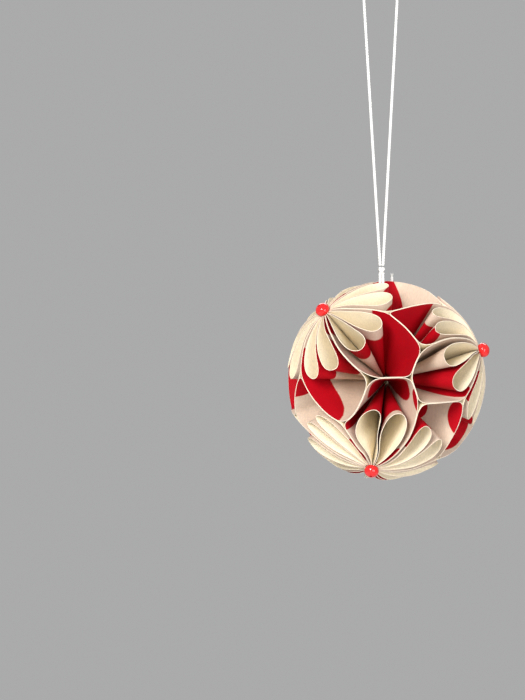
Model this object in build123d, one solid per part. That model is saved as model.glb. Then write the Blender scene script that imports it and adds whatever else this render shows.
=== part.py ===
from build123d import *
import math
import os

os.makedirs("parts", exist_ok=True)

# Kusudama ball of 24 folded discs of paper, four glass beads and a thread loop.
# Millimetres and degrees, +Z up, origin at the middle of the ball.

# driving dimensions
BALL_RADIUS = 30.0  # radius of each paper disc, and so of the ball of rims
CORE_RADIUS = 5.0  # where the modelled sheets stop, near the middle
SHEET = 0.15  # thickness of the paper
GAP = 0.08  # air between two sheets that lie side by side
CREASE_CORE = 1.2  # distance of the creases from a flower's axis at the core
CREASE_FADE = 41.0  # angle from the axis where that shift has died out
DISC_TURN = 360.0  # the whole of a disc is folded into one petal
BEAD_WIDTH = 4.4
BEAD_HEIGHT = 3.8
BEAD_HOLE = 1.0
BEAD_SINK = 0.8  # how far a bead goes down between the creases
BEAD_GRIP = 0.15  # how much closer the creases stand than the bead is wide, each side
THREAD = 0.88  # diameter of the thread
STRAND_ROOM = 1.02  # two strands side by side, against two diameters
HANG_X = -1.3  # where the thread stands over the ball
HANG_Y = -3.5
KNOT_COVER = 0.84  # what the knot's turns add to the width of two strands
KNOT_HEIGHT = 2.6
KNOT_RISE = 3.4  # height of the knot's middle over the rims
LOOP_RISE = 94.0  # height of the top of the thread loop over the rims
LOOP_LEFT = 5.9  # how far the loop's two upper corners stand out, before their bends
LOOP_RIGHT = 5.25
PEG_BEND = 5.4  # centre-line radius of the thread over its peg
STEM_DEPTH = 6.0  # how far the thread's glued foot goes down in a pocket
TAIL_X = 2.0
TAIL_Y = 4.0
TAIL_DEPTH = 4.5
TAIL_RISE = 2.6

CREASE_RIM = BEAD_WIDTH / 2 - BEAD_GRIP  # distance of the creases from the axis at the rim
BEAD_SEAT = BALL_RADIUS + BEAD_HEIGHT / 2 - BEAD_SINK
LOOP_TOP = BALL_RADIUS + LOOP_RISE

# the four flower axes before the ball is turned to the way it hangs
CORNER_POLAR = 70.5288
LEAN = (84.0, -16.0, 12.3)  # turns about X, then Y, then Z

# Points that steer the paper walls of one flower corner, as (polar, azimuth) round
# the middle of a face of the ball, with that corner at azimuth 0.
RIGHT_WALL = [(62.0, 5.5), (50.0, 14.0), (37.0, 25.0)]
RIGHT_MEET = (21.0, 43.0)
INNER_WALL = [(9.0, 52.0)]
FAR_WALL = [(27.0, 305.0), (35.0, 318.0)]
LEFT_WALL = [(62.0, -5.5), (54.0, -13.0), (48.5, -23.0)]
LEFT_MEET = (43.5, -35.0)
EDGE_WALL = [(49.0, 73.0)]
EDGE_MIDDLE = (54.7356, 60.0)

# Where hand folding put a point, against where a perfect ball would have it.
HAND_MOVED = [
    ((0, 0), (5, -72)),
    ((21, 163), (21, 176)),
    ((21, -77), (21, -83)),
    ((21, 43), (17, 35)),
    ((43.5, -155), (50, -156)),
    ((43.5, -35), (44, -40)),
    ((43.5, 85), (38, 86)),
    ((54.7, 180), (60, -178)),
    ((62, 169), (65, 172)),
    ((27, -175), (31, -162)),
    ((35, -162), (41, -155)),
    ((48.5, -143), (53, -144)),
    ((54, -133), (58, -134)),
    ((49, 73), (40, 73)),
    ((54.7, 60), (46, 57)),
    ((62, 49), (56, 45)),
    ((70, 42), (60, 38)),
    ((70, 31), (66, 30)),
    ((71, 21), (69, 21)),
    ((9, 172), (8, -167)),
    ((9, -68), (12, -79)),
    ((35, 78), (33, 82)),
    ((27, 65), (24, 66)),
    ((37, -95), (36, -96)),
]

# A small loop of a petal: how far out along the petal each steering point lies, as a
# share of the loop's length, and how far over from its middle to its wall.
LOOP_STEPS = [(0.65, 0.03), (0.97, 0.1), (1.06, 0.5), (0.93, 0.8), (0.65, 0.84)]
LOOP_ROOT = [(0.3, 0.03), (0.28, 0.66)]


def direction(polar, azimuth):
    """Unit vector at a polar angle from +Z and an azimuth from +X, in degrees."""
    p = math.radians(polar)
    a = math.radians(azimuth)
    return Vector(math.sin(p) * math.cos(a), math.sin(p) * math.sin(a), math.cos(p))


def turned(vector, axis, angle):
    """The vector turned about an axis through the origin, right-handed, in degrees."""
    a = math.radians(angle)
    k = axis.normalized()
    along = k * (k.dot(vector) * (1 - math.cos(a)))
    return vector * math.cos(a) + k.cross(vector) * math.sin(a) + along


def between(u, v):
    """Angle between two unit vectors in degrees."""
    return math.degrees(math.acos(max(-1.0, min(1.0, u.dot(v)))))


def hung(vector):
    """A direction of the upright ball, as it stands when the ball hangs on its thread."""
    v = turned(vector, Vector(1, 0, 0), LEAN[0])
    v = turned(v, Vector(0, 1, 0), LEAN[1])
    return turned(v, Vector(0, 0, 1), LEAN[2])


MOVES = [(direction(*a), direction(*b)) for a, b in HAND_MOVED]


def moved(vector):
    """The hand-folded place of a steering point, or None where it keeps its own."""
    for ideal, actual in MOVES:
        if between(vector, ideal) < 1.2:
            return actual
    return None


def steered(vector, pulls):
    """A steering point, dragged along by the meeting points that were moved."""
    actual = moved(vector)
    if actual is not None:
        return actual
    for meeting, share in pulls:
        place = moved(meeting)
        if place is not None:
            vector = vector + (place - meeting) * share
    return vector.normalized()


class Corner:
    """One flower corner of one face of the ball, with the walls that start there."""

    def __init__(self, turns):
        self.turns = turns
        self.tip = self.at((CORNER_POLAR, 0.0))
        middle = self.at((0.0, 0.0))
        right = self.at(RIGHT_MEET)
        left = self.at(LEFT_MEET)
        before = self.at((RIGHT_MEET[0], RIGHT_MEET[1] - 120.0))
        over = self.at((LEFT_MEET[0], LEFT_MEET[1] + 120.0))
        edge = self.at(EDGE_MIDDLE)
        walls = [self.at(p) for p in RIGHT_WALL]
        self.right = [walls[0], steered(walls[1], [(right, 0.35)]), steered(walls[2], [(right, 0.75)])]
        walls = [self.at(p) for p in LEFT_WALL]
        self.left = [walls[0], steered(walls[1], [(left, 0.35)]), steered(walls[2], [(left, 0.7)])]
        self.inner = [steered(self.at(p), [(right, 0.35), (middle, 0.65)]) for p in INNER_WALL]
        walls = [self.at(p) for p in FAR_WALL]
        self.far = [
            steered(walls[0], [(before, 0.7), (left, 0.3)]),
            steered(walls[1], [(before, 0.35), (left, 0.65)]),
        ]
        self.edge = [steered(self.at(p), [(over, 0.6), (edge, 0.4)]) for p in EDGE_WALL]
        self.middle = steered(middle, [])
        self.right_meet = steered(right, [])
        self.left_meet = steered(left, [])
        self.before_meet = steered(before, [])
        self.over_meet = steered(over, [])
        self.edge_middle = steered(edge, [])

    def at(self, point):
        """A (polar, azimuth) point of this corner's own face as a direction."""
        v = direction(*point)
        for axis, angle in self.turns:
            v = turned(v, axis, angle)
        return v

    def beside(self, angle):
        """The corner that lies round the same face by an angle."""
        return Corner([(Vector(0, 0, 1), angle)] + self.turns)

    def face_petal(self):
        """Steering points of the petal that lies inside this face."""
        last = self.beside(-120.0)
        ring = [self.tip] + self.right + [self.right_meet] + self.inner + [self.middle]
        ring += last.inner[::-1] + [self.before_meet] + self.far + [self.left_meet]
        ring += self.left[::-1] + [self.tip]
        return ring[::-1]

    def edge_petal(self):
        """Steering points of the petal that lies along the edge to the next corner."""
        following = self.beside(120.0)
        across = Corner(self.turns + [(self.at(EDGE_MIDDLE), 180.0)])
        far = across.beside(120.0)
        ring = [self.tip] + self.right + [self.right_meet] + following.far + [self.over_meet]
        ring += self.edge + [self.edge_middle] + across.edge[::-1] + [far.left_meet]
        return ring + far.left[::-1] + [self.tip]


class Walk:
    """A smooth closed run over the unit sphere that is steered by control points."""

    def __init__(self, control):
        knots = [control[0]]
        for i in range(1, len(control) - 2):
            knots.append((control[i] + control[i + 1]) * 0.5)
        knots.append(control[-1])
        self.start = (control[1] - control[0]).normalized()
        self.end = (control[-2] - control[-1]).normalized()
        self.places = []
        self.headings = []
        spans = len(control) - 2
        for i in range(spans):
            steps = [0.0, 1 / 3, 2 / 3]
            if i == spans - 1:
                steps.append(1.0)
            for t in steps:
                a = knots[i] * ((1 - t) ** 2)
                b = control[i + 1] * (2 * t * (1 - t))
                c = knots[i + 1] * (t * t)
                raw = a + b + c
                slope = (control[i + 1] - knots[i]) * (1 - t) + (knots[i + 1] - control[i + 1]) * t
                place = raw.normalized()
                self.places.append(place)
                self.headings.append((slope - place * slope.dot(place)).normalized())

    def length(self):
        """Angle walked from end to end, in degrees."""
        return sum(between(a, b) for a, b in zip(self.places, self.places[1:]))

    def out(self, angle, backwards):
        """The first place that lies an angle away from the walk's start, or from its end."""
        places = self.places
        if backwards:
            places = self.places[::-1]
        for a, b in zip(places, places[1:]):
            near = between(places[0], a)
            far = between(places[0], b)
            if far >= angle:
                share = (angle - near) / (far - near)
                return (a * (1 - share) + b * share).normalized()
        return places[len(places) // 2]


def small_loop(big, reach, backwards):
    """Walk of one of the two small loops inside a big one, on its left or right half."""
    tip = big.places[0]
    ways = [big.headings[0], big.headings[-1] * -1]
    if backwards:
        ways = ways[::-1]
    spine = (ways[0] + ways[1]).normalized()
    roots = []
    for share, over in LOOP_ROOT:
        way = (spine * (1 - over) + ways[0] * over).normalized()
        roots.append(turned(tip, tip.cross(way), share * reach))
    control = [tip, roots[0]]
    for share, over in LOOP_STEPS:
        one = big.out(share * reach, backwards)
        other = big.out(share * reach, not backwards)
        middle = (one + other).normalized()
        along = turned(tip, tip.cross(middle), share * reach)
        control.append((along * (1 - over) + one * over).normalized())
    control += [roots[1], tip]
    if backwards:
        control = control[::-1]
    return Walk(control)


def fitted_loop(big, backwards):
    """The small loop that uses up half of what the big loop leaves of the disc."""
    want = (DISC_TURN - big.length()) / 2
    short = 30.0
    long = 56.0
    for _ in range(12):
        reach = (short + long) / 2
        if small_loop(big, reach, backwards).length() < want:
            short = reach
        else:
            long = reach
    return small_loop(big, reach, backwards)


def run(walk, inward, shift, radius, axis, spine):
    """Middle of the sheet along a walk: (place, side) pairs at one radius of the ball."""
    inset = (SHEET + GAP) / 2
    out = []
    count = len(walk.places)
    for i in range(count):
        place = walk.places[i]
        side = walk.headings[i].cross(place)
        fade = max(0.0, 1 - between(place, axis) / CREASE_FADE) ** 2
        leave = walk.start
        if i > count // 2:
            leave = walk.end
        leave = (leave - axis * leave.dot(axis)).normalized()
        push = leave * (shift * fade / leave.dot(spine))
        out.append((place * radius + side * (inset * inward) + push, side))
    return out


def crease(last, first, axis):
    """Tight turn of the sheet from the end of one run to the start of the next."""
    a, side_a = last
    b, side_b = first
    go_a = axis.cross(side_a)
    go_b = axis.cross(side_b)
    handle = (b - a).length * 2 / 3
    p = [a, a + go_a * handle, b - go_b * handle, b]
    out = []
    for i in range(7):
        t = i / 6
        u = 1 - t
        place = p[0] * (u**3) + p[1] * (3 * u * u * t) + p[2] * (3 * u * t * t) + p[3] * (t**3)
        slope = (p[1] - p[0]) * (u * u) + (p[2] - p[1]) * (2 * u * t) + (p[3] - p[2]) * (t * t)
        out.append((place, slope.normalized().cross(axis)))
    return out


def strip(a, b, c, d):
    """Narrow face of a sheet between two of its straight rulings."""
    return Face.make_surface_from_curves(Edge.make_line(a, b), Edge.make_line(c, d))


def rings(walks, radius, shift, spine):
    """The closed edges of a petal's sheet at one radius: its printed and its plain one."""
    axis = walks[0].places[0]
    loops = [run(walks[0], 1, shift, radius, axis, spine)]
    loops.append(run(walks[1], -1, shift, radius, axis, spine))
    loops.append(run(walks[2], -1, shift, radius, axis, spine))
    middle = []
    for i in range(3):
        middle += loops[i][:-1]
        middle += crease(loops[i][-1], loops[(i + 1) % 3][0], axis)[:-1]
    printed = [place + side * (SHEET / 2) for place, side in middle]
    plain = [place - side * (SHEET / 2) for place, side in middle]
    return printed, plain


def petal(control):
    """Solid of one folded disc, from its big loop's steering points."""
    big = Walk([hung(v) for v in control])
    axis = big.places[0]
    spine = (big.headings[0] - big.headings[-1]).normalized()
    walks = [big, fitted_loop(big, True), fitted_loop(big, False)]
    printed_low, plain_low = rings(walks, CORE_RADIUS, CREASE_CORE, spine)
    printed_high, plain_high = rings(walks, BALL_RADIUS, CREASE_RIM, spine)
    around = [printed_low, printed_high, plain_high, plain_low]
    faces = []
    for k in range(4):
        near = around[k]
        far = around[(k + 1) % 4]
        for i in range(len(near)):
            j = (i + 1) % len(near)
            faces.append(strip(near[i], near[j], far[i], far[j]))
    return Solid(Shell(faces)), axis


def all_petals():
    """Each petal's solid by its flower's axis, in order round the ball."""
    tips = [direction(CORNER_POLAR, a) for a in (0.0, 120.0, 240.0)]
    faces = [[]] + [[(tip, 120.0)] for tip in tips]
    out = []
    for turns in faces:
        for spin in (0.0, 120.0, 240.0):
            corner = Corner([(Vector(0, 0, 1), spin)] + turns)
            for control in (corner.face_petal(), corner.edge_petal()):
                out.append((control[0], control))
    return out


def bead(axis):
    """Glass bead with a hole along the flower's axis."""
    half = Ellipse(BEAD_WIDTH / 2, BEAD_HEIGHT / 2)
    reach = BEAD_WIDTH / 2 - BEAD_HOLE / 2
    half = half & Pos(BEAD_HOLE / 2 + reach / 2, 0) * Rectangle(reach, BEAD_HEIGHT)
    ring = Rot(90, 0, 0) * revolve(half, Axis.Y, 360)
    return Plane(origin=axis * BEAD_SEAT, z_dir=axis) * ring


def strand(points, bends):
    """Round thread along straight runs that bends join."""
    line = FilletPolyline(*points, radius=bends)
    return sweep(Plane(origin=line @ 0, z_dir=line % 0) * Circle(THREAD / 2), line)


def upright(x, y, foot, top):
    """Straight standing length of thread."""
    return Pos(x, y, (foot + top) / 2) * Cylinder(THREAD / 2, top - foot)


FLOWERS = {
    "flower_a": direction(CORNER_POLAR, 120.0),
    "flower_b": direction(CORNER_POLAR, 0.0),
    "flower_c": direction(CORNER_POLAR, 240.0),
    "flower_d": direction(180.0, 0.0),
}
petals = all_petals()
for name, tip in FLOWERS.items():
    mine = [control for axis, control in petals if between(axis, tip) < 1.0]
    for number, control in enumerate(mine, 1):
        solid, axis = petal(control)
        export_step(solid, f"parts/{name}_petal_{number}.step")
    export_step(bead(hung(tip)), f"parts/{name}_bead.step")

side = THREAD * STRAND_ROOM / 2
left = HANG_X - side
right = HANG_X + side
knot_z = BALL_RADIUS + KNOT_RISE
knot_top = knot_z + KNOT_HEIGHT / 2
knot_foot = knot_z - KNOT_HEIGHT / 2
knot_width = 2 * THREAD + KNOT_COVER
loop_points = [
    (left, HANG_Y, knot_top),
    (HANG_X - LOOP_LEFT, HANG_Y, LOOP_TOP + THREAD / 2),
    (HANG_X + LOOP_RIGHT, HANG_Y, LOOP_TOP + THREAD / 2),
    (right, HANG_Y, knot_top),
]
export_step(strand(loop_points, [PEG_BEND, PEG_BEND]), "parts/thread_loop.step")
knot = Pos(HANG_X, HANG_Y, knot_z) * Cylinder(knot_width / 2, KNOT_HEIGHT)
knot = fillet(knot.edges(), knot_width * 0.14)
export_step(knot, "parts/thread_knot.step")
stem_foot = BALL_RADIUS - STEM_DEPTH
export_step(upright(left, HANG_Y, stem_foot, knot_foot), "parts/thread_stem_left.step")
export_step(upright(right, HANG_Y, stem_foot, knot_foot), "parts/thread_stem_right.step")
tail = upright(TAIL_X, TAIL_Y, BALL_RADIUS - TAIL_DEPTH, BALL_RADIUS + TAIL_RISE)
export_step(tail, "parts/thread_tail.step")
print("cord radius:", THREAD / 2, "bend radius over the peg:", PEG_BEND)
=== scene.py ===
"""A hanging kusudama ball: 24 folded round sheets of printed paper, four glass beads and a thread."""

from __future__ import annotations

import logging
import math
import random
from dataclasses import dataclass, field
from enum import Enum

import bpy
from mathutils import Matrix, Vector

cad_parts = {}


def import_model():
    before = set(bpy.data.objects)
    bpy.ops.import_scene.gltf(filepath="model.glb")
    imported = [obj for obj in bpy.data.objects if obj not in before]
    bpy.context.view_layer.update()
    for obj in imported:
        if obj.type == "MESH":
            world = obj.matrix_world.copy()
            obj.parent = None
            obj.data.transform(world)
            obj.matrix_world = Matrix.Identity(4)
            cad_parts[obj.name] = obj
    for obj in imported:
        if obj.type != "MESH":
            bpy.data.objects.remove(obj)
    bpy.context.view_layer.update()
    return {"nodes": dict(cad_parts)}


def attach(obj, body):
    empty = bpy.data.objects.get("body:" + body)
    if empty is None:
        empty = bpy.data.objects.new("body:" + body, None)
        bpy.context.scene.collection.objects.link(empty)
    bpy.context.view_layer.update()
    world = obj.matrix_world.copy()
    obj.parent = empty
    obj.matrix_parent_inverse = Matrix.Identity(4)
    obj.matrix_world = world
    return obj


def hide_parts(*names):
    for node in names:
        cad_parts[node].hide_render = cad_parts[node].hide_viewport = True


LOG = logging.getLogger("kusudama")
MM = 0.001
Colour = tuple[float, float, float, float]
Spot = tuple[float, float]
Spot3 = tuple[float, float, float]


@dataclass(frozen=True)
class BallSizes:
    """Sizes of the folded ball, in millimetres and degrees."""

    radius: float = 30.0
    core: float = 5.0
    heart: float = 0.7
    sheet: float = 0.15
    gap: float = 0.08
    crease_core: float = 1.2
    crease_rim: float = 2.05
    crease_fade: float = 41.0
    disc_turn: float = 360.0
    corner_polar: float = 70.5288
    lean: tuple[float, float, float] = (84.0, -16.0, 12.3)


@dataclass(frozen=True)
class WallPoints:
    """Points that steer the walls of one flower corner, as (polar, azimuth) in degrees."""

    right: tuple[Spot, ...] = ((62.0, 5.5), (50.0, 14.0), (37.0, 25.0))
    right_meet: Spot = (21.0, 43.0)
    inner: tuple[Spot, ...] = ((9.0, 52.0),)
    far: tuple[Spot, ...] = ((27.0, 305.0), (35.0, 318.0))
    left: tuple[Spot, ...] = ((62.0, -5.5), (54.0, -13.0), (48.5, -23.0))
    left_meet: Spot = (43.5, -35.0)
    edge: tuple[Spot, ...] = ((49.0, 73.0),)
    edge_middle: Spot = (54.7356, 60.0)
    loop_steps: tuple[Spot, ...] = ((0.65, 0.03), (0.97, 0.1), (1.06, 0.5), (0.93, 0.8), (0.65, 0.84))
    loop_root: tuple[Spot, ...] = ((0.3, 0.03), (0.28, 0.66))


HAND_MOVED: tuple[tuple[Spot, Spot], ...] = (
    ((0, 0), (5, -72)),
    ((21, 163), (21, 176)),
    ((21, -77), (21, -83)),
    ((21, 43), (17, 35)),
    ((43.5, -155), (50, -156)),
    ((43.5, -35), (44, -40)),
    ((43.5, 85), (38, 86)),
    ((54.7, 180), (60, -178)),
    ((62, 169), (65, 172)),
    ((27, -175), (31, -162)),
    ((35, -162), (41, -155)),
    ((48.5, -143), (53, -144)),
    ((54, -133), (58, -134)),
    ((49, 73), (40, 73)),
    ((54.7, 60), (46, 57)),
    ((62, 49), (56, 45)),
    ((70, 42), (60, 38)),
    ((70, 31), (66, 30)),
    ((71, 21), (69, 21)),
    ((9, 172), (8, -167)),
    ((9, -68), (12, -79)),
    ((35, 78), (33, 82)),
    ((27, 65), (24, 66)),
    ((37, -95), (36, -96)),
)
SIZES = BallSizes()
WALLS = WallPoints()
UP = Vector((0, 0, 1))


def direction(polar: float, azimuth: float) -> Vector:
    """Gives the unit vector at a polar angle from up and an azimuth, in degrees."""
    p, a = math.radians(polar), math.radians(azimuth)
    return Vector((math.sin(p) * math.cos(a), math.sin(p) * math.sin(a), math.cos(p)))


def turned(vector: Vector, axis: Vector, angle: float) -> Vector:
    """Turns a vector about an axis through the origin.

    Args:
        vector: the vector to turn.
        axis: the axis, of any length.
        angle: right-handed angle in degrees.

    Returns:
        The turned vector.
    """
    return Matrix.Rotation(math.radians(angle), 3, axis) @ vector


def between(u: Vector, v: Vector) -> float:
    """Gives the angle between two unit vectors in degrees."""
    return math.degrees(math.acos(max(-1.0, min(1.0, u.dot(v)))))


def hung(vector: Vector) -> Vector:
    """Turns a direction of the upright ball to the way the ball hangs on its thread."""
    v = turned(vector, Vector((1, 0, 0)), SIZES.lean[0])
    v = turned(v, Vector((0, 1, 0)), SIZES.lean[1])
    return turned(v, UP, SIZES.lean[2])


MOVES: list[tuple[Vector, Vector]] = [(direction(*a), direction(*b)) for a, b in HAND_MOVED]


def moved(vector: Vector) -> Vector | None:
    """Gives the hand-folded place of a steering point, or None where it keeps its own."""
    for ideal, actual in MOVES:
        if between(vector, ideal) < 1.2:
            return actual
    return None


def steered(vector: Vector, pulls: list[tuple[Vector, float]]) -> Vector:
    """Drags a steering point along with the meeting points that hand folding moved.

    Args:
        vector: the steering point's own direction.
        pulls: meeting points, each with the share of its move that is followed.

    Returns:
        The steering point's direction in the folded ball.
    """
    actual = moved(vector)
    if actual is not None:
        return actual
    for meeting, share in pulls:
        place = moved(meeting)
        if place is not None:
            vector = vector + (place - meeting) * share
    return vector.normalized()


class Corner:
    """One flower corner of one face of the ball, with the walls that start there."""

    def __init__(self, turns: list[tuple[Vector, float]]) -> None:
        """Places the corner's walls after some turns of the upright ball."""
        self.turns = turns
        w = WALLS
        self.tip = self.at((SIZES.corner_polar, 0.0))
        middle, right, left = self.at((0.0, 0.0)), self.at(w.right_meet), self.at(w.left_meet)
        before = self.at((w.right_meet[0], w.right_meet[1] - 120.0))
        over = self.at((w.left_meet[0], w.left_meet[1] + 120.0))
        edge = self.at(w.edge_middle)
        r = [self.at(p) for p in w.right]
        self.right = [r[0], steered(r[1], [(right, 0.35)]), steered(r[2], [(right, 0.75)])]
        s = [self.at(p) for p in w.left]
        self.left = [s[0], steered(s[1], [(left, 0.35)]), steered(s[2], [(left, 0.7)])]
        self.inner = [steered(self.at(p), [(right, 0.35), (middle, 0.65)]) for p in w.inner]
        f = [self.at(p) for p in w.far]
        self.far = [
            steered(f[0], [(before, 0.7), (left, 0.3)]),
            steered(f[1], [(before, 0.35), (left, 0.65)]),
        ]
        self.edge = [steered(self.at(p), [(over, 0.6), (edge, 0.4)]) for p in w.edge]
        self.middle, self.right_meet = steered(middle, []), steered(right, [])
        self.left_meet, self.before_meet = steered(left, []), steered(before, [])
        self.over_meet, self.edge_middle = steered(over, []), steered(edge, [])

    def at(self, point: Spot) -> Vector:
        """Gives a (polar, azimuth) point of this corner's own face as a direction."""
        v = direction(*point)
        for axis, angle in self.turns:
            v = turned(v, axis, angle)
        return v

    def beside(self, angle: float) -> Corner:
        """Gives the corner that lies round the same face by an angle."""
        return Corner([(UP, angle)] + self.turns)

    def face_petal(self) -> list[Vector]:
        """Lists the steering points of the petal that lies inside this face."""
        last = self.beside(-120.0)
        ring = [self.tip, *self.right, self.right_meet, *self.inner, self.middle]
        ring += [*last.inner[::-1], self.before_meet, *self.far, self.left_meet]
        return [*ring, *self.left[::-1], self.tip][::-1]

    def edge_petal(self) -> list[Vector]:
        """Lists the steering points of the petal along the edge to the next corner."""
        following = self.beside(120.0)
        across = Corner(self.turns + [(self.at(WALLS.edge_middle), 180.0)])
        far = across.beside(120.0)
        ring = [self.tip, *self.right, self.right_meet, *following.far, self.over_meet]
        ring += [*self.edge, self.edge_middle, *across.edge[::-1], far.left_meet]
        return [*ring, *far.left[::-1], self.tip]


class Walk:
    """A smooth closed run over the unit sphere that is steered by control points."""

    STEPS = 6

    def __init__(self, control: list[Vector]) -> None:
        """Samples the run between its two ends, which are the same point."""
        knots = [control[0]]
        knots += [(a + b) * 0.5 for a, b in zip(control[1:-2], control[2:-1])]
        knots.append(control[-1])
        self.start = (control[1] - control[0]).normalized()
        self.end = (control[-2] - control[-1]).normalized()
        self.places: list[Vector] = []
        self.headings: list[Vector] = []
        spans = len(control) - 2
        for i in range(spans):
            for k in range(self.STEPS + (i == spans - 1)):
                t = k / self.STEPS
                bend = control[i + 1]
                raw = knots[i] * (1 - t) ** 2 + bend * (2 * t * (1 - t)) + knots[i + 1] * (t * t)
                slope = (bend - knots[i]) * (1 - t) + (knots[i + 1] - bend) * t
                place = raw.normalized()
                self.places.append(place)
                self.headings.append((slope - place * slope.dot(place)).normalized())

    def length(self) -> float:
        """Gives the angle walked from end to end, in degrees."""
        return sum(between(a, b) for a, b in zip(self.places, self.places[1:]))

    def out(self, angle: float, backwards: bool) -> Vector:
        """Gives the first place that lies an angle away from the walk's start or end."""
        places = self.places[::-1] if backwards else self.places
        for a, b in zip(places, places[1:]):
            near, far = between(places[0], a), between(places[0], b)
            if far >= angle:
                share = (angle - near) / (far - near)
                return (a * (1 - share) + b * share).normalized()
        return places[len(places) // 2]


def small_loop(big: Walk, reach: float, backwards: bool) -> Walk:
    """Walks one of the two small loops inside a big one.

    Args:
        big: the petal's big loop.
        reach: how far the small loop goes from the flower's middle, in degrees.
        backwards: True for the half beside the big loop's end.

    Returns:
        The small loop's walk, which turns the other way from the big one's.
    """
    tip = big.places[0]
    ways = [big.headings[0], -big.headings[-1]]
    if backwards:
        ways = ways[::-1]
    spine = (ways[0] + ways[1]).normalized()
    roots = []
    for share, over in WALLS.loop_root:
        way = (spine * (1 - over) + ways[0] * over).normalized()
        roots.append(turned(tip, tip.cross(way), share * reach))
    control = [tip, roots[0]]
    for share, over in WALLS.loop_steps:
        one, other = big.out(share * reach, backwards), big.out(share * reach, not backwards)
        along = turned(tip, tip.cross((one + other).normalized()), share * reach)
        control.append((along * (1 - over) + one * over).normalized())
    control += [roots[1], tip]
    return Walk(control[::-1] if backwards else control)


def fitted_loop(big: Walk, backwards: bool) -> Walk:
    """Gives the small loop that uses up half of what the big loop leaves of the disc."""
    want = (SIZES.disc_turn - big.length()) / 2
    short, long = 30.0, 56.0
    for _ in range(12):
        reach = (short + long) / 2
        if small_loop(big, reach, backwards).length() < want:
            short = reach
        else:
            long = reach
    return small_loop(big, reach, backwards)


@dataclass
class RimPoint:
    """One place on the rim line of a folded sheet, at the core and at the rim."""

    low: Vector
    high: Vector
    low_side: Vector
    high_side: Vector
    turn: float = 0.0


class FoldedSheet:
    """One round sheet folded into a big loop and two small ones."""

    CREASE_STEPS = 8

    def __init__(self, name: str, control: list[Vector]) -> None:
        """Works out the closed rim line from the big loop's steering points."""
        self.name = name
        big = Walk([hung(v) for v in control])
        self.axis = big.places[0]
        self.spine = (big.headings[0] - big.headings[-1]).normalized()
        walks = [big, fitted_loop(big, True), fitted_loop(big, False)]
        runs = [self._run(walk, 1 if i == 0 else -1) for i, walk in enumerate(walks)]
        self.points: list[RimPoint] = []
        for i, run in enumerate(runs):
            lengths = [0.0]
            for a, b in zip(run, run[1:]):
                lengths.append(lengths[-1] + (b.high - a.high).length)
            start, span = (0.0, 180.0) if i == 0 else (90.0 + 90.0 * i, 90.0)
            for point, length in zip(run, lengths):
                point.turn = start + span * length / lengths[-1]
            self.points += run + self._crease(run[-1], runs[(i + 1) % 3][0])

    def _run(self, walk: Walk, inward: int) -> list[RimPoint]:
        """Lists the rim points of one loop."""
        inset = (SIZES.sheet + SIZES.gap) / 2 * inward
        out = []
        for i, (place, heading) in enumerate(zip(walk.places, walk.headings)):
            side = heading.cross(place)
            fade = max(0.0, 1 - between(place, self.axis) / SIZES.crease_fade) ** 2
            leave = walk.end if i > len(walk.places) // 2 else walk.start
            leave = (leave - self.axis * leave.dot(self.axis)).normalized()
            push = leave * (fade / leave.dot(self.spine))
            low = place * SIZES.core + side * inset + push * SIZES.crease_core
            high = place * SIZES.radius + side * inset + push * SIZES.crease_rim
            out.append(RimPoint(low, high, side, side))
        return out

    def _bend(self, a: Vector, side_a: Vector, b: Vector, side_b: Vector) -> list[tuple[Vector, Vector]]:
        """Lists the places and sides of one crease between two loops' ends."""
        handle = (b - a).length * 2 / 3
        p = [a, a + self.axis.cross(side_a) * handle, b - self.axis.cross(side_b) * handle, b]
        out = []
        for i in range(1, self.CREASE_STEPS):
            t = i / self.CREASE_STEPS
            u = 1 - t
            place = p[0] * u**3 + p[1] * (3 * u * u * t) + p[2] * (3 * u * t * t) + p[3] * t**3
            slope = (p[1] - p[0]) * (u * u) + (p[2] - p[1]) * (2 * u * t) + (p[3] - p[2]) * (t * t)
            out.append((place, slope.normalized().cross(self.axis)))
        return out

    def _crease(self, last: RimPoint, first: RimPoint) -> list[RimPoint]:
        """Lists the rim points of the tight bend from one loop to the next."""
        low = self._bend(last.low, last.low_side, first.low, first.low_side)
        high = self._bend(last.high, last.high_side, first.high, first.high_side)
        return [RimPoint(a[0], b[0], a[1], b[1], last.turn) for a, b in zip(low, high)]


class Tree:
    """A thin helper that adds and joins nodes in one node tree."""

    def __init__(self, tree: bpy.types.NodeTree) -> None:
        """Keeps the tree that nodes are added to."""
        self.tree = tree

    def add(
        self, kind: str, values: dict[int | str, object] | None = None, **settings: object
    ) -> bpy.types.Node:
        """Adds a node.

        Args:
            kind: the node's type name.
            values: what goes into each input, a constant or another node's output.
            settings: the node's own properties.

        Returns:
            The new node.
        """
        node = self.tree.nodes.new(kind)
        for key, value in settings.items():
            setattr(node, key, value)
        for key, value in (values or {}).items():
            if isinstance(value, bpy.types.NodeSocket):
                self.tree.links.new(value, node.inputs[key])
            else:
                node.inputs[key].default_value = value
        return node

    def math(self, operation: str, *values: object) -> bpy.types.NodeSocket:
        """Adds a scalar sum and returns its result."""
        node = self.add("ShaderNodeMath", dict(enumerate(values)), operation=operation)
        return node.outputs[0]

    def vector(self, operation: str, *values: object) -> bpy.types.NodeSocket:
        """Adds a vector sum and returns its result."""
        return self.add("ShaderNodeVectorMath", dict(enumerate(values)), operation=operation).outputs[0]

    def _set(self, socket: bpy.types.NodeSocket, value: object) -> None:
        """Joins or sets one input."""
        if isinstance(value, bpy.types.NodeSocket):
            self.tree.links.new(value, socket)
        else:
            socket.default_value = value

    def scaled(self, vector: bpy.types.NodeSocket, factor: object) -> bpy.types.NodeSocket:
        """Scales a vector by a number or a field."""
        node = self.add("ShaderNodeVectorMath", {0: vector}, operation="SCALE")
        self._set(node.inputs["Scale"], factor)
        return node.outputs[0]


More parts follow.
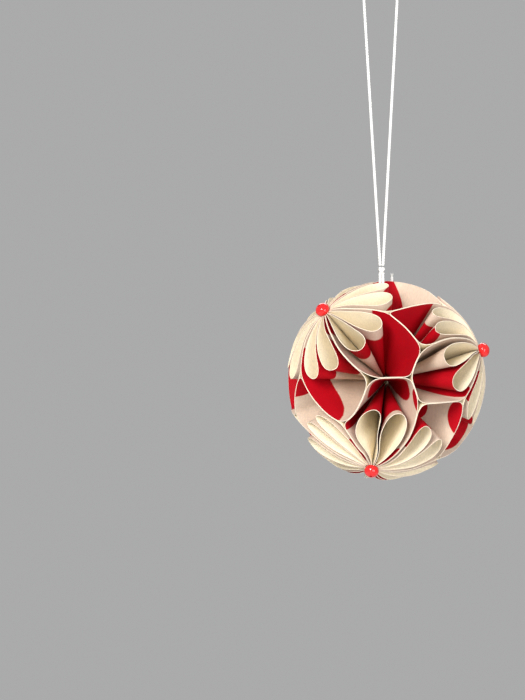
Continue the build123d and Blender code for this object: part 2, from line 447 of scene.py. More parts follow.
class GeometryTree(Tree):
    """A Geometry Nodes tree with named inputs, one geometry in and one out."""

    def __init__(self, name: str, sockets: dict[str, str]) -> None:
        """Makes the empty tree.

        Args:
            name: the tree's name.
            sockets: the type of each named input besides the geometry.
        """
        tree = bpy.data.node_groups.new(name, "GeometryNodeTree")
        super().__init__(tree)
        face = tree.interface
        face.new_socket("Geometry", in_out="INPUT", socket_type="NodeSocketGeometry")
        self.keys = {
            n: face.new_socket(n, in_out="INPUT", socket_type=k).identifier for n, k in sockets.items()
        }
        face.new_socket("Geometry", in_out="OUTPUT", socket_type="NodeSocketGeometry")
        self.inputs = self.add("NodeGroupInput").outputs
        self.output = self.add("NodeGroupOutput")

    def attribute(self, name: str, kind: str) -> bpy.types.NodeSocket:
        """Reads a named attribute of the geometry that is worked on."""
        return self.add("GeometryNodeInputNamedAttribute", {"Name": name}, data_type=kind).outputs[0]

    def finish(self, geometry: bpy.types.NodeSocket, materials: list[tuple[object, object]]) -> None:
        """Ends the tree in Realize Instances and a Set Material for each finish."""
        geometry = self.add("GeometryNodeRealizeInstances", {0: geometry}).outputs[0]
        for selection, material in materials:
            values = {"Geometry": geometry, "Material": material}
            if selection is not None:
                values["Selection"] = selection
            geometry = self.add("GeometryNodeSetMaterial", values).outputs[0]
        self.tree.links.new(geometry, self.output.inputs[0])

    def applied(self, source: bpy.types.Object, name: str, values: dict[str, object]) -> bpy.types.Object:
        """Runs the tree on an object and keeps only the plain mesh it gives.

        Args:
            source: the object that carries the input geometry; it is removed.
            name: the finished piece's name.
            values: what goes into each named input.

        Returns:
            The finished piece, at the origin, with no modifier.
        """
        modifier = source.modifiers.new(self.tree.name, "NODES")
        modifier.node_group = self.tree
        for key, value in values.items():
            modifier[self.keys[key]] = value
        graph = bpy.context.evaluated_depsgraph_get()
        mesh = bpy.data.meshes.new_from_object(source.evaluated_get(graph), depsgraph=graph)
        source.modifiers.remove(modifier)
        bpy.data.objects.remove(source)
        mesh.name = name
        piece = bpy.data.objects.new(name, mesh)
        bpy.context.scene.collection.objects.link(piece)
        return piece


def outward(mesh: bpy.types.Mesh) -> None:
    """Turns a closed mesh's faces outwards where its volume comes out negative."""
    mesh.calc_loop_triangles()
    total = 0.0
    for tri in mesh.loop_triangles:
        a, b, c = (mesh.vertices[i].co for i in tri.vertices)
        total += a.dot(b.cross(c))
    if total < 0:
        mesh.flip_normals()


@dataclass(frozen=True)
class Lobe:
    """One red shape of the print, in the flat disc's own turn (degrees) and radius (mm)."""

    turn: float
    radius: float
    half_turn: float
    half_radius: float
    power: float = 2.0
    lean: float = 0.0


@dataclass(frozen=True)
class PrintedPaper:
    """The printed side: soft-edged red shapes on blush paper with a fine fibre."""

    lobes: tuple[Lobe, ...]
    red: Colour = (0.48, 0.0, 0.008, 1)
    red_deep: Colour = (0.37, 0.0, 0.006, 1)
    blush: Colour = (0.63, 0.485, 0.375, 1)
    blush_pale: Colour = (0.72, 0.585, 0.465, 1)

    def mask(self, tree: Tree) -> bpy.types.NodeSocket:
        """Builds the print's mask, which is 1 where the paper is red."""
        disc = tree.add("ShaderNodeUVMap", uv_map="disc").outputs[0]
        parts = tree.add("ShaderNodeSeparateXYZ", {0: disc}).outputs
        turn = tree.math("MULTIPLY", parts[0], 360.0)
        radius = tree.math("MULTIPLY", parts[1], SIZES.radius)
        where = tree.add("ShaderNodeTexCoord").outputs["Object"]
        wobble = tree.add(
            "ShaderNodeTexNoise", {"Vector": where, "Scale": 900.0, "Detail": 2.0}
        ).outputs["Fac"]
        wobble = tree.math("MULTIPLY", tree.math("SUBTRACT", wobble, 0.5), 0.035)
        total: object = 0.0
        for lobe in self.lobes:
            off = tree.math("SUBTRACT", radius, lobe.radius)
            across = tree.math("SUBTRACT", turn, lobe.turn)
            if lobe.lean:
                across = tree.math("ADD", across, tree.math("MULTIPLY", off, lobe.lean))
            across = tree.math("ABSOLUTE", tree.math("DIVIDE", across, lobe.half_turn))
            along = tree.math("ABSOLUTE", tree.math("DIVIDE", off, lobe.half_radius))
            size = tree.math(
                "ADD", tree.math("POWER", across, lobe.power), tree.math("POWER", along, lobe.power)
            )
            size = tree.math("ADD", tree.math("POWER", size, 1 / lobe.power), wobble)
            ramp = tree.add("ShaderNodeMapRange", {0: size, 1: 0.985, 2: 1.015, 3: 1.0, 4: 0.0})
            total = tree.math("MAXIMUM", total, ramp.outputs[0])
        return tree.math("MULTIPLY", total, 1.0)

    def make(self, name: str) -> bpy.types.Material:
        """Builds the material."""
        tree, shader = new_material(name)
        where = tree.add("ShaderNodeTexCoord").outputs["Object"]
        cloud = tree.add(
            "ShaderNodeTexNoise", {"Vector": where, "Scale": 160.0, "Detail": 4.0}
        ).outputs["Fac"]
        red = mixed(tree, cloud, self.red_deep, self.red)
        bare = mixed(tree, cloud, self.blush, self.blush_pale)
        colour = mixed(tree, self.mask(tree), bare, red)
        tree.tree.links.new(paper_fibre(tree, shader, where, colour), shader.inputs["Base Color"])
        return bpy.data.materials[name]


@dataclass(frozen=True)
class PlainPaper:
    """An unprinted face of the paper, or its cut edge, whose paler tone is a painted highlight along the rim.
    """

    colour: Colour
    pale: Colour

    def make(self, name: str) -> bpy.types.Material:
        """Builds the material."""
        tree, shader = new_material(name)
        where = tree.add("ShaderNodeTexCoord").outputs["Object"]
        cloud = tree.add(
            "ShaderNodeTexNoise", {"Vector": where, "Scale": 190.0, "Detail": 4.0}
        ).outputs["Fac"]
        colour = mixed(tree, cloud, self.colour, self.pale)
        tree.tree.links.new(paper_fibre(tree, shader, where, colour), shader.inputs["Base Color"])
        return bpy.data.materials[name]


@dataclass(frozen=True)
class BeadGlass:
    """Glossy red glass with a little streak in its depth, and painted shade that darkens it towards its rim.
    """

    red: Colour = (0.55, 0.001, 0.002, 1)
    # Darker red used both for the streak and for the painted shade at the bead's rim.
    dark: Colour = (0.20, 0.0, 0.001, 1)

    def make(self, name: str) -> bpy.types.Material:
        """Builds the material."""
        tree, shader = new_material(name)
        where = tree.add("ShaderNodeTexCoord").outputs["Object"]
        streak = tree.add(
            "ShaderNodeTexNoise", {"Vector": where, "Scale": 520.0, "Detail": 3.0}
        ).outputs["Fac"]
        # Painted shade: the glass colour darkens towards the bead's rim, where its surface turns away from
        # view.
        edge = tree.add("ShaderNodeLayerWeight", {"Blend": 0.35}).outputs["Facing"]
        depth = tree.math("MULTIPLY", edge, 0.6)
        colour = mixed(tree, tree.math("ADD", tree.math("MULTIPLY", streak, 0.4), depth), self.red, self.dark)
        tree.tree.links.new(colour, shader.inputs["Base Color"])
        rough = tree.add("ShaderNodeMapRange", {0: streak, 3: 0.04, 4: 0.12}).outputs[0]
        tree.tree.links.new(rough, shader.inputs["Roughness"])
        shader.inputs["IOR"].default_value = 1.42
        shader.inputs["Coat Weight"].default_value = 0.1
        shader.inputs["Coat Roughness"].default_value = 0.03
        return bpy.data.materials[name]


@dataclass(frozen=True)
class CottonThread:
    """White twisted cotton with short soft fibres."""

    white: Colour = (0.90, 0.90, 0.89, 1)
    shade: Colour = (0.74, 0.74, 0.73, 1)

    def make(self, name: str) -> bpy.types.Material:
        """Builds the material."""
        tree, shader = new_material(name)
        where = tree.add("ShaderNodeTexCoord").outputs["Object"]
        stretch = tree.add("ShaderNodeMapping", {"Vector": where, "Scale": (1.0, 1.0, 0.22)}).outputs[0]
        hair = tree.add(
            "ShaderNodeTexNoise", {"Vector": stretch, "Scale": 6500.0, "Detail": 5.0}
        ).outputs["Fac"]
        tree.tree.links.new(mixed(tree, hair, self.shade, self.white), shader.inputs["Base Color"])
        rough = tree.add("ShaderNodeMapRange", {0: hair, 3: 0.75, 4: 0.95}).outputs[0]
        tree.tree.links.new(rough, shader.inputs["Roughness"])
        bump = tree.add("ShaderNodeBump", {"Height": hair, "Strength": 0.5, "Distance": 0.00006}).outputs[0]
        tree.tree.links.new(bump, shader.inputs["Normal"])
        shader.inputs["Sheen Weight"].default_value = 0.35
        return bpy.data.materials[name]


def new_material(name: str) -> tuple[Tree, bpy.types.Node]:
    """Makes an empty material.

    Args:
        name: the material's name.

    Returns:
        Its tree helper and its main shader.
    """
    material = bpy.data.materials.new(name)
    material.use_nodes = True
    return Tree(material.node_tree), material.node_tree.nodes["Principled BSDF"]


def mixed(tree: Tree, factor: object, a: object, b: object) -> bpy.types.NodeSocket:
    """Mixes two colours."""
    return tree.add("ShaderNodeMix", {0: factor, 6: a, 7: b}, data_type="RGBA").outputs[2]


def paper_fibre(tree: Tree, shader: bpy.types.Node, where: object, colour: object) -> bpy.types.NodeSocket:
    """Gives a paper face its fibres: bump, roughness and a faint fleck.

    Args:
        tree: the material's tree.
        shader: its main shader.
        where: the coordinates the fibres are laid in.
        colour: the face's colour so far.

    Returns:
        The colour with the flecks on it.
    """
    bent = tree.add("ShaderNodeTexNoise", {"Vector": where, "Scale": 300.0, "Detail": 2.0}).outputs["Color"]
    along = tree.vector("ADD", tree.vector("MULTIPLY", where, (1.0, 1.0, 0.3)), tree.scaled(bent, 0.0012))
    fibre = tree.add(
        "ShaderNodeTexNoise", {"Vector": along, "Scale": 2600.0, "Detail": 6.0, "Roughness": 0.65}
    )
    grain = fibre.outputs["Fac"]
    bump = tree.add("ShaderNodeBump", {"Height": grain, "Strength": 0.35, "Distance": 0.00012}).outputs[0]
    tree.tree.links.new(bump, shader.inputs["Normal"])
    rough = tree.add("ShaderNodeMapRange", {0: grain, 1: 0.3, 2: 0.7, 3: 0.62, 4: 0.82}).outputs[0]
    tree.tree.links.new(rough, shader.inputs["Roughness"])
    shader.inputs["Specular IOR Level"].default_value = 0.15
    fleck = tree.add("ShaderNodeMapRange", {0: grain, 1: 0.35, 2: 0.7, 3: 0.88, 4: 1.06}).outputs[0]
    return tree.scaled(colour, fleck)


class SheetTree(GeometryTree):
    """Geometry Nodes that raise a folded rim line into a closed sheet of paper."""

    def __init__(self) -> None:
        """Builds the tree: a grid wrapped round the sheet's section, then its zones."""
        super().__init__(
            "folded_sheet",
            {
                "Thickness": "NodeSocketFloat",
                "Rows": "NodeSocketInt",
                "Heart Share": "NodeSocketFloat",
                "Rim Nose": "NodeSocketFloat",
                "Flutter": "NodeSocketFloat",
                "Flutter Scale": "NodeSocketFloat",
                "Printed": "NodeSocketMaterial",
                "Plain": "NodeSocketMaterial",
                "Cut Edge": "NodeSocketMaterial",
            },
        )
        line, rows = self.inputs["Geometry"], self.inputs["Rows"]
        count = self.add("GeometryNodeAttributeDomainSize", {0: line}).outputs["Point Count"]
        turn_rows = self.math("ADD", self.math("MULTIPLY", rows, 2), 3)
        grid = self.add(
            "GeometryNodeMeshGrid",
            {"Size X": 1.0, "Size Y": 1.0, "Vertices X": self.math("ADD", count, 1),
             "Vertices Y": self.math("ADD", turn_rows, 1)},
        ).outputs[0]
        position = self.add("GeometryNodeInputPosition").outputs[0]
        spot = self.add("ShaderNodeSeparateXYZ", {0: position}).outputs
        column = self.math("ROUND", self.math("MULTIPLY", self.math("ADD", spot[0], 0.5), count))
        row = self.math("ROUND", self.math("MULTIPLY", self.math("ADD", spot[1], 0.5), turn_rows))
        grid = self._stored(grid, "column", "FLOAT", "POINT", column)
        grid = self._stored(grid, "row", "FLOAT", "POINT", row)
        column, row = self.attribute("column", "FLOAT"), self.attribute("row", "FLOAT")
        index = self.math("FLOORED_MODULO", column, count)
        low, high, low_side, high_side = (
            self._sampled(line, index, n, "FLOAT_VECTOR") for n in ("low", "high", "low_side", "high_side")
        )
        wrapped = self.math("FLOORED_MODULO", row, turn_rows)
        from_rim = self.math("SUBTRACT", self.math("ADD", rows, 1), wrapped)
        inner_rows = self.math("SUBTRACT", self.math("ADD", rows, 1), self.math("ABSOLUTE", from_rim))
        share = self.math("DIVIDE", inner_rows, rows)
        share = self.math("MINIMUM", share, self.math("ADD", 1.0, self.inputs["Rim Nose"]))
        heart = self.inputs["Heart Share"]
        depth = self.math("SUBTRACT", self.math("MULTIPLY", share, self.math("ADD", 1.0, heart)), heart)
        place = self.vector("ADD", low, self.scaled(self.vector("SUBTRACT", high, low), depth))
        side = self.vector("ADD", low_side, self.scaled(self.vector("SUBTRACT", high_side, low_side), share))
        half_sign = self.math("MULTIPLY", self.math("SIGN", from_rim), 0.5)
        half = self.math("MULTIPLY", half_sign, self.inputs["Thickness"])
        place = self.vector("ADD", place, self.scaled(self.vector("NORMALIZE", side), half))
        noise = self.add(
            "ShaderNodeTexNoise", {"Vector": place, "Scale": self.inputs["Flutter Scale"], "Detail": 1.0}
        )
        drift = self.vector("SUBTRACT", noise.outputs["Color"], (0.5, 0.5, 0.5))
        place = self.vector("ADD", place, self.scaled(drift, self.inputs["Flutter"]))
        turn = self._sampled(line, index, "turn", "FLOAT")
        last = self.math("GREATER_THAN", column, self.math("SUBTRACT", count, 0.5))
        turn = self.math("ADD", turn, self.math("MULTIPLY", last, 360.0))
        disc = self.add(
            "ShaderNodeCombineXYZ",
            {
                0: self.math("DIVIDE", turn, 360.0),
                1: self.math("ADD", 1 / 6, self.math("MULTIPLY", depth, 5 / 6)),
            },
        ).outputs[0]
        grid = self._stored(grid, "disc", "FLOAT2", "CORNER", disc)
        one_side = self.math("GREATER_THAN", row, rows)
        past_rim = self.math("GREATER_THAN", row, self.math("ADD", rows, 2))
        at_heart = self.math("GREATER_THAN", row, self.math("SUBTRACT", turn_rows, 1))
        zone = self.math("SUBTRACT", self.math("MULTIPLY", one_side, 2), past_rim)
        grid = self._stored(grid, "zone", "FLOAT", "FACE", self.math("ADD", zone, at_heart))
        near = self.math("ABSOLUTE", self.math("SUBTRACT", self.math("ABSOLUTE", from_rim), 1.0))
        grid = self._stored(grid, "sharp_edge", "BOOLEAN", "EDGE", self.math("LESS_THAN", near, 0.1))
        grid = self.add("GeometryNodeSetPosition", {"Geometry": grid, "Position": place}).outputs[0]
        grid = self.add("GeometryNodeMergeByDistance", {"Geometry": grid, "Distance": 1e-7}).outputs[0]
        grid = self.add("GeometryNodeSetShadeSmooth", {"Geometry": grid}).outputs[0]
        zone = self.attribute("zone", "FLOAT")
        # The thin rim faces take the cut-edge paper, which is unprinted paper given a painted highlight.
        picks = [
            (self.math("LESS_THAN", zone, 0.5), self.inputs["Printed"]),
            (self.math("COMPARE", zone, 1.0, 0.4), self.inputs["Plain"]),
            (self.math("GREATER_THAN", zone, 1.5), self.inputs["Cut Edge"]),
        ]
        self.finish(grid, picks)

    def _stored(self, grid: object, name: str, kind: str, domain: str, value: object) -> bpy.types.NodeSocket:
        """Stores a named attribute on the sheet."""
        values = {"Geometry": grid, "Name": name, "Value": value}
        return self.add("GeometryNodeStoreNamedAttribute", values, data_type=kind, domain=domain).outputs[0]

    def _sampled(self, line: object, index: object, name: str, kind: str) -> bpy.types.NodeSocket:
        """Reads one of the rim line's attributes at an index."""
        values = {0: line, "Value": self.attribute(name, kind), "Index": index}
        return self.add("GeometryNodeSampleIndex", values, data_type=kind).outputs[0]


class TwistTree(GeometryTree):
    """Geometry Nodes that lay twisted plies along a line."""

    def __init__(self) -> None:
        """Builds the tree: a profile of round plies that turns as it goes along."""
        super().__init__(
            "twisted_plies",
            {
                "Plies": "NodeSocketInt",
                "Ply Radius": "NodeSocketFloat",
                "Lay Radius": "NodeSocketFloat",
                "Pitch": "NodeSocketFloat",
                "Step": "NodeSocketFloat",
                "Fuzz": "NodeSocketFloat",
                "Cotton": "NodeSocketMaterial",
            },
        )
        line = self.add("GeometryNodeMeshToCurve", {0: self.inputs["Geometry"]}).outputs[0]
        line = self.add(
            "GeometryNodeResampleCurve", {"Curve": line, "Length": self.inputs["Step"]}, mode="LENGTH"
        ).outputs[0]
        length = self.add("GeometryNodeSplineParameter").outputs["Length"]
        angle = self.math("MULTIPLY", self.math("DIVIDE", length, self.inputs["Pitch"]), math.tau)
        line = self.add("GeometryNodeSetCurveTilt", {"Curve": line, "Tilt": angle}).outputs[0]
        ring = self.add(
            "GeometryNodeCurvePrimitiveCircle",
            {"Resolution": 7, "Radius": self.inputs["Ply Radius"]},
            mode="RADIUS",
        ).outputs[0]
        spots = self.add(
            "GeometryNodeMeshCircle", {"Vertices": self.inputs["Plies"], "Radius": self.inputs["Lay Radius"]}
        ).outputs[0]
        plies = self.add("GeometryNodeInstanceOnPoints", {"Points": spots, "Instance": ring}).outputs[0]
        plies = self.add("GeometryNodeRealizeInstances", {0: plies}).outputs[0]
        body = self.add(
            "GeometryNodeCurveToMesh", {"Curve": line, "Profile Curve": plies, "Fill Caps": True}
        ).outputs[0]
        where = self.add("GeometryNodeInputPosition").outputs[0]
        noise = self.add(
            "ShaderNodeTexNoise", {"Vector": where, "Scale": 2200.0, "Detail": 2.0}
        ).outputs["Color"]
        drift = self.scaled(self.vector("SUBTRACT", noise, (0.5, 0.5, 0.5)), self.inputs["Fuzz"])
        body = self.add("GeometryNodeSetPosition", {"Geometry": body, "Offset": drift}).outputs[0]
        body = self.add("GeometryNodeSetShadeSmooth", {"Geometry": body}).outputs[0]
        self.finish(body, [(None, self.inputs["Cotton"])])


def line_object(name: str, lines: list[list[Vector]], closed: bool = False) -> bpy.types.Object:
    """Makes a mesh of edges that run through points.

    Args:
        name: the object's name.
        lines: the points of each line, in metres.
        closed: True where each line's last point joins its first.

    Returns:
        The new object.
    """
    places, edges = [], []
    for points in lines:
        first = len(places)
        places += [tuple(p) for p in points]
        edges += [(first + i, first + i + 1) for i in range(len(points) - 1)]
        if closed:
            edges.append((len(places) - 1, first))
    mesh = bpy.data.meshes.new(name)
    mesh.from_pydata(places, edges, [])
    piece = bpy.data.objects.new(name, mesh)
    bpy.context.scene.collection.objects.link(piece)
    return piece


class Flower(Enum):
    """The four flowers, by the direction of each one's axis on the upright ball."""

    A = ("flower_a", 70.5288, 120.0)
    B = ("flower_b", 70.5288, 0.0)
    C = ("flower_c", 70.5288, 240.0)
    D = ("flower_d", 180.0, 0.0)

    @property
    def node(self) -> str:
        """The start of the names of this flower's parts."""
        return self.value[0]

    @property
    def axis(self) -> Vector:
        """The flower's axis on the upright ball."""
        return direction(self.value[1], self.value[2])


PRINTS: dict[str, tuple[Lobe, ...]] = {
    "flower_a_petal_1": (
        Lobe(63, 16, 32, 20, 6),
        Lobe(172, 29, 10, 4),
        Lobe(228, 30, 24, 8.5),
        Lobe(315, 8, 40, 16.5, 6),
    ),
    "flower_a_petal_2": (
        Lobe(128, 31, 30, 11, 2.6),
        Lobe(232, 30, 18, 8),
        Lobe(322, 26, 18, 10, 3),
        Lobe(352, 30, 8, 4),
    ),
    "flower_a_petal_4": (Lobe(48, 27, 9, 12, 6, 1.4), Lobe(223, 25, 7, 3), Lobe(310, 27, 6, 3)),
    "flower_a_petal_5": (Lobe(114, 30, 24, 3.6), Lobe(60, 26, 14, 6), Lobe(230, 22, 16, 8)),
    "flower_b_petal_1": (Lobe(37, 18, 9.5, 13), Lobe(315, 20, 26, 15, 5), Lobe(165, 20, 10, 6)),
    "flower_b_petal_2": (Lobe(111, 19, 20, 16, 6), Lobe(228, 18, 15, 7.5, 4), Lobe(318, 24, 5, 7)),
    "flower_b_petal_4": (Lobe(63, 27.2, 20, 1.9), Lobe(311, 27, 6, 3), Lobe(204, 30, 11, 3)),
    "flower_c_petal_1": (
        Lobe(90, 13, 37, 12, 3),
        Lobe(117, 31, 8, 5),
        Lobe(38, 20, 7, 12),
        Lobe(172, 30, 16, 2.4),
        Lobe(228, 16, 24, 11, 3),
        Lobe(315, 18, 24, 15, 6),
    ),
    "flower_c_petal_2": (
        Lobe(103, 31, 13, 6),
        Lobe(117, 14, 16, 4),
        Lobe(229, 20, 6, 5),
        Lobe(325, 26, 13, 8),
    ),
    "flower_c_petal_3": (Lobe(170, 29, 14, 4), Lobe(70, 24, 18, 7), Lobe(300, 22, 16, 7)),
    "flower_c_petal_6": (Lobe(86, 29, 9, 5, 2.5), Lobe(193, 30, 9, 2.5), Lobe(40, 22, 8, 6)),
}


@dataclass
class FoldedBall:
    """The 24 folded sheets of the ball."""

    depth_rows: int = 14
    flutter: float = 0.5
    flutter_scale: float = 95.0
    plain: PlainPaper = PlainPaper((0.84, 0.72, 0.52, 1), (0.93, 0.84, 0.66, 1))
    # The cut edge is unprinted paper set paler than the plain face, as a painted highlight along the rims.
    cut_edge: PlainPaper = PlainPaper((0.90, 0.76, 0.60, 1), (0.97, 0.87, 0.73, 1))
    tree: SheetTree = field(default_factory=SheetTree)

    def corners(self) -> list[tuple[Vector, list[Vector]]]:
        """Lists every petal's axis and steering points, in order round the ball."""
        tips = [direction(SIZES.corner_polar, a) for a in (0.0, 120.0, 240.0)]
        faces: list[list[tuple[Vector, float]]] = [[]] + [[(tip, 120.0)] for tip in tips]
        out = []
        for turns in faces:
            for spin in (0.0, 120.0, 240.0):
                corner = Corner([(UP, spin)] + turns)
                out += [(control[0], control) for control in (corner.face_petal(), corner.edge_petal())]
        return out

    def spare_print(self, rng: random.Random) -> tuple[Lobe, ...]:
        """Lays a few large shapes on a sheet, each clear of the next."""
        start = rng.uniform(0, 60)
        return tuple(
            Lobe(
                (start + 72 * i + rng.uniform(-12, 12)) % 345 + 8,
                rng.choice((13, 21, 29)),
                rng.uniform(18, 30),
                rng.uniform(7, 13),
                rng.choice((2.0, 2.6, 4.0)),
                rng.uniform(-0.8, 0.8),
            )
            for i in range(5)
        )

    def petal(self, name: str, sheet: FoldedSheet, printed: bpy.types.Material) -> bpy.types.Object:
        """Raises one sheet from its rim line.

        Args:
            name: the part's name.
            sheet: its rim line.
            printed: the material of its printed side.

        Returns:
            The finished petal.
        """
        points = sheet.points
        line = line_object(name + "_line", [[p.high * MM for p in points]], closed=True)
        for key, unit in (("low", MM), ("high", MM), ("low_side", 1.0), ("high_side", 1.0)):
            data = line.data.attributes.new(key, "FLOAT_VECTOR", "POINT").data
            data.foreach_set("vector", [c * unit for p in points for c in getattr(p, key)])
        turns = line.data.attributes.new("turn", "FLOAT", "POINT").data
        turns.foreach_set("value", [p.turn for p in points])
        values = {
            "Thickness": SIZES.sheet * MM,
            "Rows": self.depth_rows,
            "Heart Share": (SIZES.core - 2.5) / (SIZES.radius - SIZES.core),
            "Rim Nose": 0.0016,
            "Flutter": self.flutter * MM,
            "Flutter Scale": self.flutter_scale,
            "Printed": printed,
            "Plain": bpy.data.materials["paper_plain"],
            "Cut Edge": bpy.data.materials["paper_cut_edge"],
        }
        piece = self.tree.applied(line, name + "_paper", values)
        outward(piece.data)
        return piece

    def build(self) -> list[bpy.types.Object]:
        """Builds and dresses all the petals."""
        self.plain.make("paper_plain")
        self.cut_edge.make("paper_cut_edge")
        rng = random.Random(11)
        out = []
        corners = self.corners()
        for flower in Flower:
            mine = [control for axis, control in corners if between(axis, flower.axis) < 1.0]
            for number, control in enumerate(mine, 1):
                name = f"{flower.node}_petal_{number}"
                lobes = PRINTS.get(name) or self.spare_print(rng)
                printed = PrintedPaper(lobes).make(name + "_print")
                piece = self.petal(name, FoldedSheet(name, control), printed)
                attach(piece, "root")
                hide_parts(name)
                LOG.info("%s: %d faces", name, len(piece.data.polygons))
                out.append(piece)
        return out


@dataclass
class Beads:
    """The glass bead at the heart of each flower."""

    glass: BeadGlass = BeadGlass()

    def build(self, nodes: dict[str, bpy.types.Object]) -> None:
        """Dresses the four beads."""
        glass = self.glass.make("bead_glass")
        for flower in Flower:
            bead = nodes[f"{flower.node}_bead"]
            bead.data.materials.clear()
            bead.data.materials.append(glass)
            LOG.info("%s_bead dressed", flower.node)


@dataclass
class HangingThread:
    """The cotton thread: its loop, the knot, the strands in the pocket and the cut end."""

    width: float = 0.88
    hang: tuple[float, float] = (-1.3, -3.5)
    knot_height: float = 2.6
    knot_z: float = 33.4
    top: float = 124.0
    left: float = -7.2
    right: float = 3.95
    stem_foot: float = 24.0
    tail: tuple[float, float] = (2.0, 4.0)
    tail_foot: float = 25.5
    tail_top: float = 32.6
    length: float = 185.6
    pitch: float = 2.5
    fibres: int = 16
    cotton: CottonThread = CottonThread()
    tree: TwistTree = field(default_factory=TwistTree)

    def plies(
        self, name: str, lines: list[list[Vector]], plies: int, width: float, pitch: float
    ) -> bpy.types.Object:
        """Twists plies along lines.

        Args:
            name: the piece's name.
            lines: the points each strand follows, in metres.
            plies: how many plies it has, at least three.
            width: its whole width in millimetres.
            pitch: the length of one turn in millimetres.

        Returns:
            The finished strands.
        """
        ply = width * 0.235
        values = {
            "Plies": plies,
            "Ply Radius": ply * MM,
            "Lay Radius": (width / 2 - ply) * MM,
            "Pitch": pitch * MM,
            "Step": 0.22 * MM,
            "Fuzz": 0.05 * MM,
            "Cotton": bpy.data.materials["thread_cotton"],
        }
        return self.tree.applied(line_object(name + "_line", lines), name, values)

    def route(self) -> list[Vector]:
        """Gives close points along the loop's own smooth spline, in metres."""
        side, z = self.width * 0.51, self.knot_z + self.knot_height / 2
        x, y, corner, below = self.hang[0], self.hang[1], self.top + self.width / 2, 5.3
        left_way = (Vector((x - side, y, z)) - Vector((self.left, y, corner))).normalized()
        right_way = (Vector((x + side, y, z)) - Vector((self.right, y, corner))).normalized()
        points = [
            Vector((x - side, y, z)),
            Vector((self.left, y, corner)) + left_way * below,
            Vector((self.left, y, corner)),
            Vector((self.right, y, corner)),
            Vector((self.right, y, corner)) + right_way * below,
            Vector((x + side, y, z)),
        ]
        curve = bpy.data.curves.new("thread_route", "CURVE")
        curve.dimensions = "3D"
        curve.resolution_u = 48
        spline = curve.splines.new("NURBS")
        spline.points.add(len(points) - 1)
        for point, place in zip(spline.points, points):
            point.co = (*(place * MM), 1.0)
        spline.order_u = 3
        spline.use_endpoint_u = True
        holder = bpy.data.objects.new("thread_route", curve)
        bpy.context.scene.collection.objects.link(holder)
        graph = bpy.context.evaluated_depsgraph_get()
        mesh = bpy.data.meshes.new_from_object(holder.evaluated_get(graph), depsgraph=graph)
        path = [v.co.copy() for v in mesh.vertices]
        bpy.data.objects.remove(holder)
        bpy.data.meshes.remove(mesh)
        return path

    def knot_line(self) -> list[Vector]:
        """Gives the middle line of the overhand knot over the ball, in metres."""
        out = []
        for i in range(73):
            t = math.tau * i / 72
            x = math.sin(t) + 2 * math.sin(2 * t)
            y = math.cos(t) - 2 * math.cos(2 * t)
            z = -math.sin(3 * t)
            out.append(
                Vector((self.hang[0] + 0.27 * x, self.hang[1] + 0.24 * z * 1.6, self.knot_z + 0.27 * y)) * MM
            )
        return out

    def frayed_end(self) -> list[list[Vector]]:
        """Gives the loose fibres of the cut end, in metres."""
        rng = random.Random(5)
        out = []
        foot = Vector((self.tail[0], self.tail[1], self.tail_top - 1.7))
        for _ in range(self.fibres):
            lean = Vector((rng.uniform(-0.42, 0.42), rng.uniform(-0.42, 0.42), 0))
            tall = rng.uniform(0.9, 1.65)
            shares = (0, 0.3, 0.6, 1)
            out.append([(foot + lean * (0.4 * s + 0.6 * s * s) + UP * (tall * s)) * MM for s in shares])
        return out

    def build(self) -> None:
        self.cotton.make("thread_cotton")
        path = self.route()
        loop = self.plies("thread_loop_twist", [path], 3, self.width, self.pitch)
        side, x, y = self.width * 0.51, self.hang[0], self.hang[1]
        knot = self.plies("thread_knot_twist", [self.knot_line()], 3, self.width * 0.8, 1.8)
        knot_foot = self.knot_z - self.knot_height / 2
        rise = knot_foot + 0.5 - self.stem_foot
        stems = [
            [Vector((x + s * side, y, self.stem_foot + rise * k / 8)) * MM for k in range(9)]
            for s in (-1, 1)
        ]
        stem = self.plies("thread_stem_twist", stems, 3, self.width, self.pitch)
        tall = self.tail_top - 1.2 - self.tail_foot
        tail_line = [Vector((*self.tail, self.tail_foot + tall * k / 6)) * MM for k in range(7)]
        tail = self.plies("thread_tail_twist", [tail_line], 3, self.width, self.pitch)
        fray = self.plies("thread_tail_fray", self.frayed_end(), 3, 0.15, 1.2)
        stands = {
            loop: ("thread_loop",),
            knot: ("thread_knot",),
            stem: ("thread_stem_left", "thread_stem_right"),
            tail: ("thread_tail",),
            fray: (),
        }
        for piece, nodes in stands.items():
            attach(piece, "root")
            if nodes:
                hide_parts(*nodes)
            LOG.info("%s: %d faces", piece.name, len(piece.data.polygons))


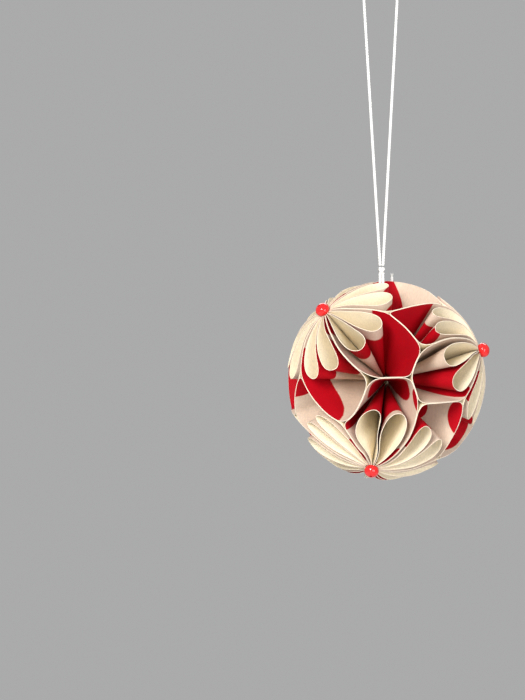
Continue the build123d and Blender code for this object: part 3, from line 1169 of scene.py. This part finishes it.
@dataclass
class Studio:
    """The plain surroundings: a pale floor, soft lights and the camera."""

    floor_z: float = -0.2
    floor_radius: float = 0.5
    aim: tuple[float, float] = (-0.0373, 0.00915)
    view_height: float = 0.2121
    distance: float = 2.0
    grey: float = 0.405

    def camera(self) -> None:
        """Makes the level camera, looking along +Y."""
        data = bpy.data.cameras.new("camera")
        data.sensor_width = 36.0
        data.lens = data.sensor_width * self.distance / self.view_height
        data.clip_start, data.clip_end = 0.05, 50.0
        camera = bpy.data.objects.new("camera", data)
        camera.location = (self.aim[0], -self.distance, self.aim[1])
        camera.rotation_euler = (math.radians(90), 0, 0)
        bpy.context.scene.collection.objects.link(camera)
        bpy.context.scene.camera = camera

    def lamp(
        self, name: str, place: Spot3, size: float, power: float, colour: tuple[float, float, float]
    ) -> None:
        """Adds a square soft light that faces the ball."""
        data = bpy.data.lights.new(name, "AREA")
        data.size, data.energy, data.color = size, power, colour
        lamp = bpy.data.objects.new(name, data)
        lamp.location = place
        lamp.rotation_euler = (-Vector(place)).to_track_quat("-Z", "Y").to_euler()
        bpy.context.scene.collection.objects.link(lamp)

    def build(self) -> None:
        """Builds the floor, the surroundings' even light, the lamps and the camera."""
        self.camera()
        scene = bpy.context.scene
        scene.view_settings.view_transform = "Standard"
        world = bpy.data.worlds.new("studio")
        world.use_nodes = True
        backdrop = world.node_tree.nodes["Background"].inputs[0]
        backdrop.default_value = (self.grey, self.grey, self.grey * 1.005, 1)
        scene.world = world
        self.lamp("key", (-0.55, -1.25, 0.5), 0.6, 24.0, (1.0, 0.98, 0.95))
        self.lamp("fill", (0.7, -1.2, -0.05), 0.8, 11.0, (0.97, 0.98, 1.0))
        self.lamp("rim", (0.3, 0.7, 0.9), 0.5, 6.0, (1.0, 1.0, 1.0))
        self.lamp("back", (-0.35, 1.5, 0.9), 0.9, 10.0, (1.0, 0.99, 0.97))
        tree, shader = new_material("floor_card")
        where = tree.add("ShaderNodeTexCoord").outputs["Object"]
        grain = tree.add("ShaderNodeTexNoise", {"Vector": where, "Scale": 60.0, "Detail": 4.0}).outputs["Fac"]
        colour = mixed(tree, grain, (0.60, 0.60, 0.60, 1), (0.64, 0.64, 0.64, 1))
        tree.tree.links.new(colour, shader.inputs["Base Color"])
        shader.inputs["Roughness"].default_value = 0.85
        count = 64
        rim = [(math.cos(math.tau * i / count), math.sin(math.tau * i / count)) for i in range(count)]
        mesh = bpy.data.meshes.new("floor")
        places = [(x * self.floor_radius, y * self.floor_radius, self.floor_z) for x, y in rim]
        mesh.from_pydata(places, [], [tuple(range(count))])
        mesh.materials.append(bpy.data.materials["floor_card"])
        floor = bpy.data.objects.new("floor", mesh)
        scene.collection.objects.link(floor)


def main() -> None:
    """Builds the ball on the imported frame."""
    logging.basicConfig(level=logging.INFO, format="%(name)s %(message)s")
    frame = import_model()
    Studio().build()
    HangingThread().build()
    FoldedBall().build()
    Beads().build(frame["nodes"])
    bpy.context.view_layer.update()


if __name__ == "__main__":
    main()
